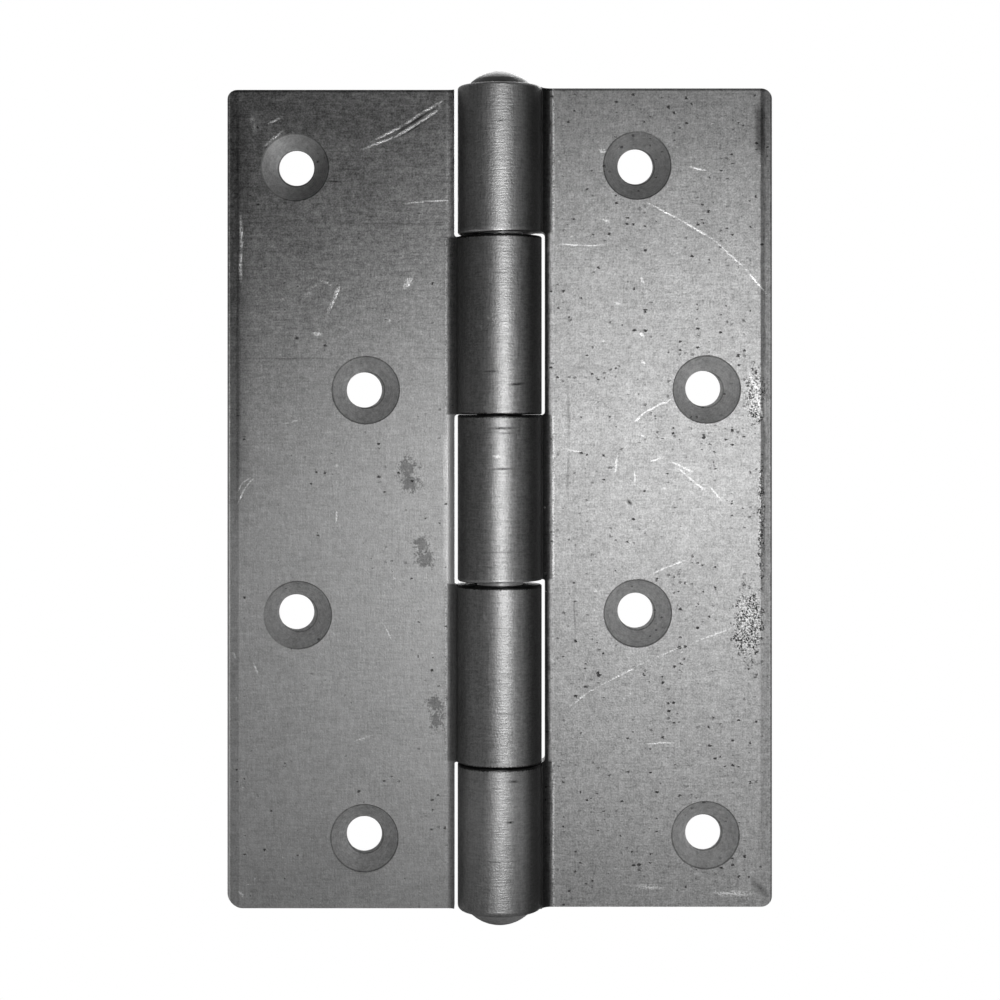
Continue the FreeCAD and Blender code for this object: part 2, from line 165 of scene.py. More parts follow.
# Marks on the front faces, in mm from the pin axis and mid-height: polylines,
# half width, and weight. A weight above zero is a bright scratch, below zero a
# dull one.
LEFT_MARKS = [
    ([(-23.2, 66.7), (-17.6, 69.8), (-14.8, 71.5), (-10.9, 73.9)], 0.19, 1.00),
    ([(-24.6, 65.2), (-19.5, 67.4), (-14.8, 70.1), (-11.6, 72.2)], 0.20, 1.10),
    ([(-19.0, 68.3), (-12.5, 72.2)], 0.15, -0.80),
    ([(-19.3, 66.8), (-12.6, 70.9)], 0.14, -0.60),
    ([(-43.5, 65.5), (-40.7, 68.0)], 0.20, 0.95),
    ([(-43.0, 69.6), (-40.9, 70.8)], 0.16, 0.80),
    ([(-48.2, 52.2), (-48.1, 46.0), (-48.3, 40.8)], 0.24, 0.85),
    ([(-46.2, 70.8), (-45.6, 68.6)], 0.40, 0.30),
    ([(-36.6, 37.2), (-33.4, 40.6)], 0.30, 0.22),
    ([(-33.4, 40.5), (-31.6, 39.7)], 0.18, 0.60),
    ([(-32.2, 58.9), (-29.6, 58.9)], 0.14, -0.70),
    ([(-49.3, 51.1), (-37.2, 51.3), (-8.3, 50.9)], 0.16, -0.25),
    ([(-48.9, 26.0), (-30.3, 25.8)], 0.14, -0.30),
    ([(-16.5, 26.0), (-9.8, 26.0)], 0.14, -0.30),
    ([(-17.6, 54.7), (-13.4, 55.2), (-9.3, 55.4)], 0.14, 0.60),
    ([(-17.4, 39.5), (-16.8, 40.5)], 0.42, 1.10),
    ([(-30.1, 39.2), (-31.0, 37.0), (-32.0, 34.7)], 0.26, 0.95),
    ([(-34.6, 30.5), (-33.6, 30.5)], 0.28, 0.90),
    ([(-30.5, -2.7), (-30.5, -4.4)], 0.16, 0.60),
    ([(-45.9, -31.0), (-45.2, -32.7)], 0.14, 0.70),
    ([(-49.7, -29.1), (-49.3, -29.7)], 0.20, 0.70),
    ([(-49.3, -37.1), (-48.9, -37.7)], 0.20, 0.60),
    ([(-48.4, -73.6), (-47.8, -74.2)], 0.20, 0.70),
    ([(-48.9, -1.0), (-47.8, 1.4), (-45.9, 3.5)], 0.14, 0.60),
    ([(-49.1, 0.9), (-48.2, 2.5), (-46.7, 3.6)], 0.12, 0.40),
    ([(-37.9, 29.7), (-37.6, 29.7)], 0.25, -0.90),
    ([(-40.7, 13.7), (-36.1, 14.8)], 0.12, 0.30),
    ([(-21.5, -23.9), (-20.1, -26.5)], 0.12, 0.35),
    ([(-27.5, -45.5), (-24.0, -44.2)], 0.12, 0.35),
]
RIGHT_MARKS = [
    ([(28.0, 54.7), (33.8, 51.7), (39.9, 48.0), (45.5, 42.9), (49.8, 37.9)], 0.15, 0.75),
    ([(35.1, 61.8), (38.2, 61.0)], 0.14, 0.70),
    ([(11.6, 47.2), (15.7, 47.0), (19.8, 46.9)], 0.13, 0.45),
    ([(25.2, 14.3), (27.2, 15.9), (31.9, 18.2)], 0.14, 0.65),
    ([(19.4, 51.9), (20.2, 51.5)], 0.20, 0.80),
    ([(21.5, 36.4), (22.2, 36.1)], 0.18, 0.80),
    ([(26.3, 40.9), (26.7, 40.1)], 0.18, 0.80),
    ([(26.3, 30.5), (26.7, 30.1)], 0.18, 0.80),
    ([(19.1, 29.5), (19.4, 29.2)], 0.18, 0.80),
    ([(26.5, 25.4), (26.9, 25.1)], 0.18, 0.80),
    ([(42.9, 25.1), (43.3, 24.7)], 0.18, 0.80),
    ([(26.3, 11.8), (26.7, 11.5)], 0.18, 0.80),
    ([(12.0, 9.2), (15.1, 8.5)], 0.13, 0.60),
    ([(22.0, 7.7), (21.5, 4.0)], 0.13, 0.60),
    ([(25.2, 4.6), (25.2, 2.5)], 0.13, 0.70),
    ([(28.4, 6.8), (30.4, 7.4)], 0.13, 0.60),
    ([(32.5, 6.4), (35.6, 5.0)], 0.15, 0.80),
    ([(33.8, 5.0), (36.2, 2.9), (38.0, 1.6)], 0.15, 0.80),
    ([(39.5, 1.6), (40.8, 0.1)], 0.14, 0.70),
    ([(34.7, -11.6), (31.3, -13.1), (28.2, -14.4)], 0.13, 0.45),
    ([(13.1, -38.8), (18.7, -35.1), (27.8, -30.2)], 0.13, 0.40),
    ([(27.8, -30.2), (35.3, -27.4), (42.7, -24.3)], 0.13, 0.22),
    ([(26.7, -45.9), (32.3, -45.7)], 0.12, 0.40),
    ([(46.4, 23.6), (47.7, 19.7), (49.2, 14.5)], 0.16, 0.70),
    ([(47.2, 21.9), (48.8, 18.4)], 0.14, 0.60),
    ([(46.8, 18.0), (48.3, 15.0)], 0.14, 0.60),
    ([(23.9, -0.6), (24.5, -1.2)], 0.26, -0.90),
    ([(12.7, 22.0), (12.75, 10.0), (12.7, 0.0)], 0.20, -0.35),
    ([(13.8, -17.5), (14.1, -26.0)], 0.16, -0.35),
    ([(18.5, 64.7), (19.6, 64.6)], 0.24, 0.60),
    ([(13.9, 24.2), (17.5, 24.0)], 0.20, -0.30),
    ([(47.4, -71.6), (49.4, -73.6)], 0.60, -0.50),
    ([(26.1, -72.5), (29.9, -72.7)], 0.40, 0.35),
    ([(39.2, -73.6), (46.6, -73.8)], 0.40, 0.35),
]

# Dull finger stains on the left leaf: centre and half sizes, mm.
LEFT_STAINS = [
    (-17.2, 5.5, 1.60, 1.75), (-16.6, 2.6, 1.70, 1.50), (-14.5, -8.9, 1.55, 1.50),
    (-13.8, -11.5, 1.60, 1.35), (-12.1, -38.4, 1.65, 1.45), (-11.8, -41.4, 1.35, 1.70),
]
# Rough, speckled places on the right leaf: centre and half sizes, mm.
RIGHT_ROUGH = [(46.4, -23.6, 3.2, 7.2), (47.6, 19.0, 2.2, 5.4), (48.7, -4.5, 0.75, 12.5)]

SHIFT = -0.45
LOW = -0.275
SINKS = {
    1: [(25.4 + 0.22, 62.4 + SHIFT - 0.11), (38.1 + 0.47, 20.8 + SHIFT - 0.22),
        (25.4 + 0.32, -20.8 + SHIFT - 0.32), (38.1 + 0.22, -62.4 + SHIFT - 0.02)],
    -1: [(-38.1 - 0.04, 62.4 + SHIFT + LOW - 0.13), (-25.4 + 0.45, 20.8 + SHIFT + LOW - 0.06),
         (-38.1 + 0.50, -20.8 + SHIFT + LOW - 0.36), (-25.4 + 0.20, -62.4 + SHIFT + LOW - 0.32)],
}
# Painted light on the side of a countersink wall that faces the lamp, in the tone of the face: sink index,
# direction in the plane of the leaf, strength.
SINK_WALL_LIGHT = {1: [(1, -0.4, -0.9, 0.35, 1.0), (0, 0.30, 0.954, 0.95, 4.4)],
        -1: [(0, -0.95, -0.3, 0.35, 2.5), (2, -0.9, -0.45, 0.95, 1.0)]}
# Marks on the front of the barrel, same form.
BARREL_MARKS = {
    1: [([(-1.9, 13.0), (3.0, 13.1)], 0.22, -0.9), ([(-0.6, 12.2), (2.4, 12.1)], 0.16, -0.6),
        ([(-1.6, 5.6), (3.0, 5.5)], 0.20, -0.8), ([(-2.7, -9.6), (3.0, -9.5)], 0.20, -0.45),
        ([(1.3, -58.8), (2.4, -58.8)], 0.22, -0.9), ([(1.9, -51.4), (3.3, -51.5)], 0.22, -0.8),
        ([(-0.4, 69.1), (0.6, 69.0)], 0.18, -0.7), ([(-0.9, 7.9), (-0.3, 7.8)], 0.28, 0.8),
        ([(-0.6, 66.8), (-0.4, 66.4)], 0.30, 0.7), ([(-0.5, 65.4), (-0.3, 65.0)], 0.30, 0.7),
        ([(-3.0, -12.3), (-1.0, -12.4)], 0.14, -0.5), ([(-2.2, -66.0), (0.4, -66.1)], 0.14, -0.45)],
    -1: [([(1.7, 21.0), (4.4, 21.1)], 0.24, -0.9), ([(-2.7, 23.4), (-0.3, 23.4)], 0.20, -0.7),
         ([(-2.8, 16.9), (-2.6, 16.5)], 0.30, 0.7), ([(-2.2, 33.3), (-2.0, 32.9)], 0.22, 0.6),
         ([(-3.5, 31.6), (-3.3, 31.2)], 0.22, 0.6), ([(-1.2, 41.3), (1.6, 41.2)], 0.14, -0.5),
         ([(-2.9, -21.2), (-2.5, -21.8)], 0.28, 0.6), ([(-0.8, -39.0), (2.6, -39.1)], 0.15, -0.5)],
}
KNUCKLE_ENDS = {1: [76.2, 49.15, 15.435, -15.25, -49.065, -76.2],
                -1: [48.475, 15.475, -16.025, -49.025]}


# Middle and half length of the notches, z in mm.
NOTCHES = {1: [(32.35, 16.97), (-32.15, 16.97)], -1: [(62.4, 13.92), (-0.27, 15.75), (-62.8, 13.77)]}


def start(name):
    m = bpy.data.materials.new(name)
    m.use_nodes = True
    m.node_tree.nodes.clear()
    G = Graph(m.node_tree)
    out = G.node("ShaderNodeOutputMaterial")
    bsdf = G.node("ShaderNodeBsdfPrincipled")
    G.l.new(bsdf.outputs[0], out.inputs[0])
    tc = G.node("ShaderNodeTexCoord")
    mmv = G.node("ShaderNodeVectorMath", operation="SCALE")
    G.l.new(tc.outputs["Object"], mmv.inputs[0])
    mmv.inputs["Scale"].default_value = 1000.0
    return m, G, bsdf, mmv.outputs[0]


def spot(G, P, cx, cz, rx, rz):
    """Distance from a centre in the leaf plane, 1 at the half sizes."""
    mp = G.node("ShaderNodeMapping", vector_type="TEXTURE")
    G.put(P, mp.inputs["Vector"])
    mp.inputs["Location"].default_value = (cx, 0.0, cz)
    mp.inputs["Scale"].default_value = (rx, 1.0, rz)
    return G.vmath("LENGTH", mp.outputs[0])


def steel_leaf(side):
    """Bare satin steel: brushed face, turned countersinks, sheared edges, rolled barrel."""
    m, G, bsdf, P = start("steel_leaf_right" if side > 0 else "steel_leaf_left")
    x, y, z = G.sep(P)
    flat = G.comb(x, 0.0, z)
    geo = G.node("ShaderNodeNewGeometry")
    nx, ny, nz = G.sep(geo.outputs["True Normal"])
    ax = G.math("ABSOLUTE", x)
    anz = G.math("ABSOLUTE", nz)

    r = G.vmath("LENGTH", G.comb(x, y, 0.0))
    barrel = G.band(r, 7.95, 7.85, 0.0, 1.0)
    plate = G.sub(1.0, barrel)
    cut = G.maxi(G.band(anz, 0.6, 0.9), G.mul(G.band(G.math("ABSOLUTE", nx), 0.75, 0.95), plate))

    # ---- grain
    grain = G.sub(G.noise(P, 3.1, 2.0, 0.6), 0.5)
    vert = G.sub(G.noise(G.comb(x, y, G.mul(z, 0.09)), 3.4, 2.0, 0.65), 0.5)
    hori = G.sub(G.noise(G.comb(G.mul(x, 0.10), G.mul(y, 0.35), z), 3.0, 2.0, 0.65), 0.5)
    blotch = G.sub(G.noise(P, 0.11, 3.0, 0.55), 0.5)
    mid = G.sub(G.noise(P, 1.1, 2.0, 0.6), 0.5)
    notch = None
    for (zc, hz) in NOTCHES[side]:
        d = G.band(G.math("ABSOLUTE", G.sub(z, zc)), hz + 0.2, hz - 0.2)
        notch = d if notch is None else G.maxi(notch, d)

    # ---- countersinks
    ring = None
    for (hx, hz) in SINKS[side]:
        d = G.vmath("DISTANCE", flat, (hx, 0.0, hz))
        ring = d if ring is None else G.math("MINIMUM", ring, d)
    inside = G.band(ring, 6.52, 6.38, 0.0, 1.0)
    deep = G.mul(G.band(y, 1.24, 1.32), G.band(y, 4.65, 4.50))
    cone = G.mul(G.mul(inside, deep), plate)
    # painted light: the lamp side of each countersink wall takes the tone of the face
    sink_wall_light = None
    for (k, ux, uz, amt, edge) in SINK_WALL_LIGHT[side]:
        hx, hz = SINKS[side][k]
        near = G.band(G.vmath("DISTANCE", flat, (hx, 0.0, hz)), 8.0, 7.0)
        along = G.vmath("DOT_PRODUCT", G.vmath("SUBTRACT", flat, (hx, 0.0, hz)), (ux, 0.0, uz))
        w = G.mul(G.mul(near, amt), G.band(G.add(along, G.mul(grain, 2.0)), edge, edge + 2.2 if edge > 4.0 else 5.2))
        sink_wall_light = w if sink_wall_light is None else G.maxi(sink_wall_light, w)

    # ---- pits: more of them on the right leaf
    px = G.math("MULTIPLY_ADD", grain, 0.9, G.mul(x, 0.8))
    pz = G.math("MULTIPLY_ADD", hori, 0.7, z)
    pd, pc = G.cells(G.comb(px, 0.0, pz), 1.15 if side > 0 else 1.0)
    pr, pg, pb = G.sep(pc)
    pick = G.math("MULTIPLY_ADD", blotch, 1.3, pr)
    deepest = G.band(pick, 0.48 if side > 0 else 0.80, 1.02, -0.02, 0.26 if side > 0 else 0.20, "LINEAR")
    pits = G.band(G.sub(pd, deepest), 0.06, -0.03, 0.0, 1.0)
    flecks = G.band(G.sub(pd, G.band(pb, 0.93 if side > 0 else 0.96, 1.0, -0.05, 0.20, "LINEAR")), 0.06, -0.04)
    pits = G.mul(pits, G.add(0.35, G.mul(pg, 0.65)))
    pits = G.mul(pits, G.sub(1.0, barrel))

    # ---- scratches and dull lines
    bright = None
    dark = None
    PW = G.vmath("ADD", flat, G.comb(G.mul(blotch, 0.9), 0.0, G.mul(blotch, -0.7)))
    count = 0
    PC = PW
    for pts, width, weight in (RIGHT_MARKS if side > 0 else LEFT_MARKS):
        for a, b in zip(pts[:-1], pts[1:]):
            v = G.mul(lens_mark(G, PC, a, b, width * 1.8), abs(weight) * 1.7)
            if weight > 0:
                bright = v if bright is None else G.maxi(bright, v)
            else:
                dark = v if dark is None else G.maxi(dark, v)
            count += 1
            if count % 5 == 0:
                PC = G.after(PW, v)
    chatter = G.band(G.add(grain, G.mul(hori, 0.9)), -0.10, 0.10, 0.0, 1.0)
    bright = G.mul(bright, G.math("MULTIPLY_ADD", chatter, 0.90, 0.38))
    front = G.mul(G.band(ny, -0.5, -0.8), plate)
    bdark = None
    blight = None
    PC = G.after(PW, bright)
    for pts, width, weight in BARREL_MARKS[side]:
        count += 1
        if count % 5 == 0:
            PC = G.after(PW, v)
        v = G.mul(lens_mark(G, PC, pts[0], pts[1], width * 1.6), abs(weight) * 1.7)
        if weight > 0:
            blight = v if blight is None else G.maxi(blight, v)
        else:
            bdark = v if bdark is None else G.maxi(bdark, v)
    bfront = G.mul(G.band(y, -2.0, -3.0), barrel)
    bdark = G.mul(G.mul(bdark, bfront), G.math("MULTIPLY_ADD", grain, 2.0, 0.8))
    blight = G.mul(G.mul(blight, bfront), G.math("MULTIPLY_ADD", grain, 1.5, 0.8))

    # ---- rough places, stains, and painted highlights and painted shade along the crease, the bend and the edges
    # painted highlight along the crease where the face bends up into the barrel
    cw = G.math("MULTIPLY_ADD", vert, 0.25, ax)
    crease_highlight = G.mul(G.band(G.math("ABSOLUTE", G.sub(cw, 10.02)), 0.30, 0.06),
                   G.band(G.add(grain, G.mul(vert, 0.6)), -0.12, 0.10, 0.1, 1.0))
    crease_highlight = G.mul(crease_highlight, G.sub(1.0, G.mul(notch, 0.85)))
    if side > 0:
        rough = None
        for (cx, cz, rx, rz) in RIGHT_ROUGH:
            s = G.band(G.math("MULTIPLY_ADD", mid, 1.7, spot(G, flat, cx, cz, rx, rz)), 1.10, 0.45)
            rough = s if rough is None else G.maxi(rough, s)
        rough = G.mul(rough, front)
    else:
        rough = 0.0
        # painted highlight in a strip beside the barrel, and painted shade along the rolled edge
        brushed = G.mul(G.band(G.math("ABSOLUTE", G.sub(ax, 9.9)), 0.75, 0.45), plate)
        brushed = G.mul(brushed, G.band(z, 13.0, 10.0))
        brushed = G.mul(brushed, G.band(z, -17.0, -13.0))
        # painted shade along the rolled edge above the middle, soft on its inner side
        high = G.mul(G.band(G.math("MULTIPLY_ADD", blotch, 14.0, z), -9.0, 9.0), G.band(z, 73.6, 70.0))
        ragged = G.math("MULTIPLY_ADD", vert, 1.4, ax)
        rolled = G.band(G.math("ABSOLUTE", G.sub(ragged, 48.75)), 1.1, 0.1)
        rolled = G.maxi(rolled, G.mul(G.band(ragged, 45.2, 48.6), G.band(ax, 50.5, 50.1, 0.0, 0.55)))
        rolled = G.mul(rolled, high)
        # painted highlight along the outer edge
        painted_rim_light = G.band(ax, 50.05, 50.55)
        stain = None
        for (cx, cz, rx, rz) in LEFT_STAINS:
            s = G.band(G.math("MULTIPLY_ADD", mid, 2.4, G.math("MULTIPLY_ADD", grain, 2.0, spot(G, flat, cx, cz, rx, rz))), 1.30, 0.55)
            stain = s if stain is None else G.maxi(stain, s)
    ends = None
    for e in KNUCKLE_ENDS[side]:
        d = G.math("ABSOLUTE", G.sub(z, e))
        ends = d if ends is None else G.math("MINIMUM", ends, d)
    # lighter lip at the knuckle ends: burnished wear and a painted highlight
    lip = G.mul(G.band(ends, 0.75, 0.30), barrel)
    if side < 0:
        lip = G.mul(lip, 0.3)

    # ---- colour
    c = G.math("MULTIPLY_ADD", grain, 0.78 if side > 0 else 0.42, LEAF_TONE[side])
    c = G.math("MULTIPLY_ADD", vert, 0.34 if side > 0 else 0.24, c)
    c = G.math("MULTIPLY_ADD", hori, 0.30 if side > 0 else 0.22, c)
    c = G.math("MULTIPLY_ADD", mid, 0.44 if side > 0 else 0.26, c)
    c = G.math("MULTIPLY_ADD", blotch, 0.16, c)
    # painted shade towards the top, deepest in the outer corner
    if side > 0:
        tz = G.band(G.math("MULTIPLY_ADD", blotch, 16.0, z), 38.0, 84.0, 1.0, 0.70)
        painted_top_shade = G.mul(tz, G.band(G.math("MULTIPLY_ADD", blotch, 12.0, z), 10.0, -30.0, 1.0, 0.84))
    else:
        # painted shade, darkest towards the upper outer corner
        u = G.math("MULTIPLY_ADD", x, -0.45, z)
        painted_top_shade = G.band(G.math("MULTIPLY_ADD", blotch, 16.0, u), 8.0, 92.0, 1.0, 0.42)
        # more broken up where it is darker
        mott = G.math("MULTIPLY_ADD", mid, 1.2, G.math("MULTIPLY_ADD", grain, 1.6, G.mul(hori, 0.8)))
        mott = G.math("MULTIPLY_ADD", blotch, 0.8, mott)
        painted_top_shade = G.mul(painted_top_shade, G.math("MULTIPLY_ADD", mott, G.mul(G.sub(1.0, painted_top_shade), 1.5), 1.0))
    # painted shade towards the top on the front faces
    c = G.mul(c, G.mix(front, 1.0, painted_top_shade))
    if side > 0:
        sp = G.mul(G.math("MULTIPLY_ADD", grain, 3.2, G.math("MULTIPLY_ADD", mid, 1.3, -0.03)), rough)
        c = G.add(c, sp)
        # painted shade along the rolled edge, darkest near the top corner
        ragged = G.math("MULTIPLY_ADD", vert, 0.9, ax)
        painted_edge_band_shade = G.mul(G.band(G.math("ABSOLUTE", G.sub(ragged, 49.0)), 0.62, 0.20), G.band(z, -22.0, -8.0))
        c = G.mul(c, G.sub(1.0, G.mul(G.mul(painted_edge_band_shade, front), 0.42)))
        top = G.mul(G.band(G.math("ABSOLUTE", G.sub(ragged, 48.5)), 1.5, 0.2),
                    G.band(G.math("ABSOLUTE", G.sub(z, 68.5)), 5.6, 3.0))
        c = G.mul(c, G.sub(1.0, G.mul(G.mul(top, front), 0.60)))
        # painted light: the bevel of the outer edge lightened below the middle
        c = G.mul(c, G.math("MULTIPLY_ADD", G.mul(G.band(ax, 48.55, 48.7), G.band(z, -8.0, -22.0)), 0.25, 1.0))
        # painted shade in the bend between face and barrel
        bend = G.mix(notch, 9.15, 8.75)
        painted_bend_shade = G.band(G.math("MULTIPLY_ADD", vert, 0.7, ax), bend, G.add(bend, 1.1), 1.0, 0.0)
        c = G.mul(c, G.sub(1.0, G.mul(G.mul(painted_bend_shade, G.band(ny, -0.05, -0.3)), 0.86)))
        # painted shade along the top edge and the outer edge
        c = G.mul(c, G.sub(1.0, G.mul(G.mul(G.band(z, 75.65, 75.9), front), 0.6)))
        c = G.mul(c, G.sub(1.0, G.mul(G.mul(G.band(ax, 50.4, 50.6), front), 0.45)))
    else:
        # painted highlight in the strip beside the barrel
        c = G.math("MULTIPLY_ADD", brushed, 0.16, c)
        # painted shade along the rolled edge
        c = G.mul(c, G.sub(1.0, G.mul(G.mul(rolled, front), 0.52)))
        # painted highlight along the outer edge
        c = G.mul(c, G.math("MULTIPLY_ADD", G.mul(painted_rim_light, plate), 0.9, 1.0))
        c = G.mul(c, G.sub(1.0, G.mul(G.mul(stain, front), 0.46)))
        # painted shade in the bend between face and barrel, away from the notches
        bend = G.band(G.math("MULTIPLY_ADD", vert, 0.6, ax), 8.9, 11.0, 0.50, 0.0)
        c = G.mul(c, G.sub(1.0, G.mul(bend, G.sub(1.0, notch))))
        # painted light in the bend beside the notches, above the lowest knuckle
        painted_bend_light = G.mul(G.mul(G.band(ax, 10.1, 8.9), notch), G.band(z, -48.0, -42.0))
        c = G.mul(c, G.math("MULTIPLY_ADD", painted_bend_light, 1.35, 1.0))
        # painted shade along the top edge
        c = G.mul(c, G.sub(1.0, G.mul(G.mul(G.band(z, 75.35, 75.6), front), 0.55)))
    # painted highlight along the crease
    c = G.math("MULTIPLY_ADD", G.mul(crease_highlight, front), 0.42 if side > 0 else 0.25, c)
    # barrel tone: on the right leaf the end knuckles are painted lighter and the middle one darker, painted light
    # for the lamp's falloff
    if side > 0:
        tone = G.band(G.math("ABSOLUTE", z), 40.0, 60.0, BARREL_TONE * 0.86, BARREL_TONE * 1.18)
    else:
        tone = BARREL_TONE * 0.92
    bc = G.math("MULTIPLY_ADD", grain, 0.46, tone)
    bc = G.math("MULTIPLY_ADD", vert, 0.30, bc)
    bc = G.math("MULTIPLY_ADD", hori, 0.42, bc)
    bc = G.math("MULTIPLY_ADD", mid, 0.20, bc)
    bc = G.math("MULTIPLY_ADD", blotch, 0.14, bc)
    # lighter lip at the knuckle ends, partly a painted highlight
    bc = G.math("MULTIPLY_ADD", lip, 0.16, bc)
    # painted shade down the sides of the barrel, the front left lighter
    painted_side_shade = G.mul(G.band(y, -6.8, -3.0), G.band(y, 7.0, 3.0, 0.45, 1.0))
    bc = G.mul(bc, G.sub(1.0, G.mul(painted_side_shade, 0.52)))
    # painted shade on the right flank of the barrel
    bc = G.mul(bc, G.sub(1.0, G.mul(G.mul(G.band(x, 3.6, 6.2), G.band(y, 2.0, -1.0)), 0.66)))
    shut = G.math("MINIMUM", G.math("ABSOLUTE", G.sub(z, 15.33)), G.math("ABSOLUTE", G.sub(z, -49.17)))
    shut = G.band(G.math("MULTIPLY_ADD", grain, 0.5, shut), 0.62, 0.28)
    if side < 0:
        upper = G.math("MINIMUM", G.math("ABSOLUTE", G.sub(z, 48.35)), G.math("ABSOLUTE", G.sub(z, -16.15)))
        shut = G.maxi(shut, G.band(G.math("MULTIPLY_ADD", grain, 0.4, upper), 0.46, 0.26))
    bc = G.mul(bc, G.sub(1.0, G.mul(shut, 0.90)))
    bc = G.mul(bc, G.sub(1.0, G.mul(bdark, 0.75)))
    bc = G.math("MULTIPLY_ADD", blight, 0.40, bc)
    c = G.mix(barrel, c, bc)
    cc = G.math("MULTIPLY_ADD", blotch, 0.25, G.math("MULTIPLY_ADD", grain, 0.50, 0.74 if side > 0 else 0.68))
    cc = G.math("MULTIPLY_ADD", mid, 0.60, cc)
    if side > 0:
        hx, hz = SINKS[1][0]
        near = G.band(G.vmath("DISTANCE", flat, (hx, 0.0, hz)), 8.0, 7.0)
        cc = G.mul(cc, G.mix(near, 1.0, 0.72))
    else:
        hx, hz = SINKS[-1][0]
        near = G.band(G.vmath("DISTANCE", flat, (hx, 0.0, hz)), 8.0, 7.0)
        # painted light and shade across the first countersink wall, lighter towards the upper left
        along = G.vmath("DOT_PRODUCT", G.vmath("SUBTRACT", flat, (hx, 0.0, hz)), (-0.88, 0.0, 0.47))
        cc = G.mul(cc, G.mix(near, 1.0, G.band(along, -4.5, 5.5, 0.40, 1.25, "LINEAR")))
    lines = G.maxi(G.band(G.math("ABSOLUTE", G.sub(G.math("MULTIPLY_ADD", grain, 0.5, ring), 6.28)), 0.20, 0.04),
                   G.band(ring, 3.55, 3.40))
    cc = G.mul(cc, G.sub(1.0, G.mul(lines, 0.50)))
    cc = G.math("MULTIPLY_ADD", G.math("SINE", G.mul(ring, 16.0)), 0.018, cc)
    # countersink colour, with painted light in the face's tone on the lamp side of the walls
    c = G.mix(G.mul(cone, G.sub(1.0, sink_wall_light)), c, cc)
    c = G.mul(c, G.sub(1.0, G.mul(cut, 0.30)))
    c = G.mul(c, G.sub(1.0, G.mul(pits, 0.60)))
    c = G.math("MULTIPLY_ADD", G.mul(flecks, front), 0.30, c)
    if dark is not None:
        c = G.mul(c, G.sub(1.0, G.mul(G.mul(dark, front), 0.65)))
    c = G.math("MULTIPLY_ADD", G.mul(bright, front), 0.70, c)
    c = G.math("MINIMUM", G.math("MAXIMUM", c, 0.03), 0.97)
    G.l.new(G.grey(c), bsdf.inputs["Base Color"])

    # ---- metal or dull oxide
    mt = G.mix(G.mul(cone, 1.0), LEAF_METAL, 0.45)
    mt = G.mix(barrel, mt, BARREL_METAL)
    if side > 0:
        mt = G.sub(mt, G.mul(rough, 0.2))
    G.l.new(mt, bsdf.inputs["Metallic"])

    # ---- roughness
    ro = G.math("MULTIPLY_ADD", vert, 0.10, LEAF_ROUGH)
    ro = G.math("MULTIPLY_ADD", blotch, 0.12, ro)
    rb = G.math("MULTIPLY_ADD", vert, 0.16, BARREL_ROUGH)
    ro = G.mix(barrel, ro, rb)
    ro = G.math("MULTIPLY_ADD", cut, 0.08, ro)
    ro = G.math("MULTIPLY_ADD", pits, 0.25, ro)
    ro = G.math("MULTIPLY_ADD", cone, 0.08, ro)
    ro = G.math("MULTIPLY_ADD", bright, -0.10, ro)
    G.l.new(G.math("MINIMUM", G.math("MAXIMUM", ro, 0.15), 0.95), bsdf.inputs["Roughness"])

    # ---- relief
    h = G.math("MULTIPLY_ADD", vert, 0.016, G.mul(grain, G.mix(barrel, 0.034, 0.055)))
    h = G.math("MULTIPLY_ADD", hori, G.mix(barrel, 0.014, 0.050), h)
    h = G.math("MULTIPLY_ADD", pits, -0.045, h)
    h = G.math("MULTIPLY_ADD", bright, 0.020, h)
    if side > 0:
        # these knuckles are rolled a little out of round
        h = G.math("MULTIPLY_ADD", G.mul(x, barrel), -0.09, h)
    else:
        # the worn bevel of this edge runs into the face
        h = G.math("MULTIPLY_ADD", G.math("MAXIMUM", G.sub(ax, 48.6), 0.0), 0.19, h)
    bump = G.node("ShaderNodeBump")
    bump.inputs["Strength"].default_value = 0.7
    bump.inputs["Distance"].default_value = 0.001
    G.l.new(h, bump.inputs["Height"])
    G.l.new(bump.outputs[0], bsdf.inputs["Normal"])
    return m


def steel_pin():
    m, G, bsdf, P = start("steel_pin")
    bsdf.inputs["Metallic"].default_value = 0.45
    x, y, z = G.sep(P)
    a = G.sub(G.noise(P, 0.9, 3.0, 0.6), 0.5)
    b = G.sub(G.noise(G.comb(x, y, G.mul(z, 2.0)), 3.5, 3.0, 0.65), 0.5)
    hd, hc = G.cells(P, 0.75, "SMOOTH_F1")
    c = G.math("MULTIPLY_ADD", a, 0.35, 0.80)
    c = G.math("MULTIPLY_ADD", b, 0.40, c)
    seat = G.band(G.math("MULTIPLY_ADD", b, 0.4, G.sub(z, 76.2)), 1.50, 1.25)
    seat = G.mul(seat, G.band(z, 70.0, 75.0))
    c = G.mul(c, G.sub(1.0, G.mul(seat, 0.80)))
    G.l.new(G.grey(G.math("MINIMUM", G.math("MAXIMUM", c, 0.03), 0.95)), bsdf.inputs["Base Color"])
    G.l.new(G.math("MULTIPLY_ADD", a, 0.2, 0.46), bsdf.inputs["Roughness"])
    h = G.math("MULTIPLY_ADD", b, 0.03, G.mul(hd, 0.12))
    bump = G.node("ShaderNodeBump")
    bump.inputs["Strength"].default_value = 0.7
    bump.inputs["Distance"].default_value = 0.001
    G.l.new(h, bump.inputs["Height"])
    G.l.new(bump.outputs[0], bsdf.inputs["Normal"])
    return m


LEAF_TONE = {1: 0.60, -1: 0.60}
BARREL_TONE = 0.60
LEAF_METAL = 1.0
BARREL_METAL = 1.0
LEAF_ROUGH = 0.52
BARREL_ROUGH = 0.46

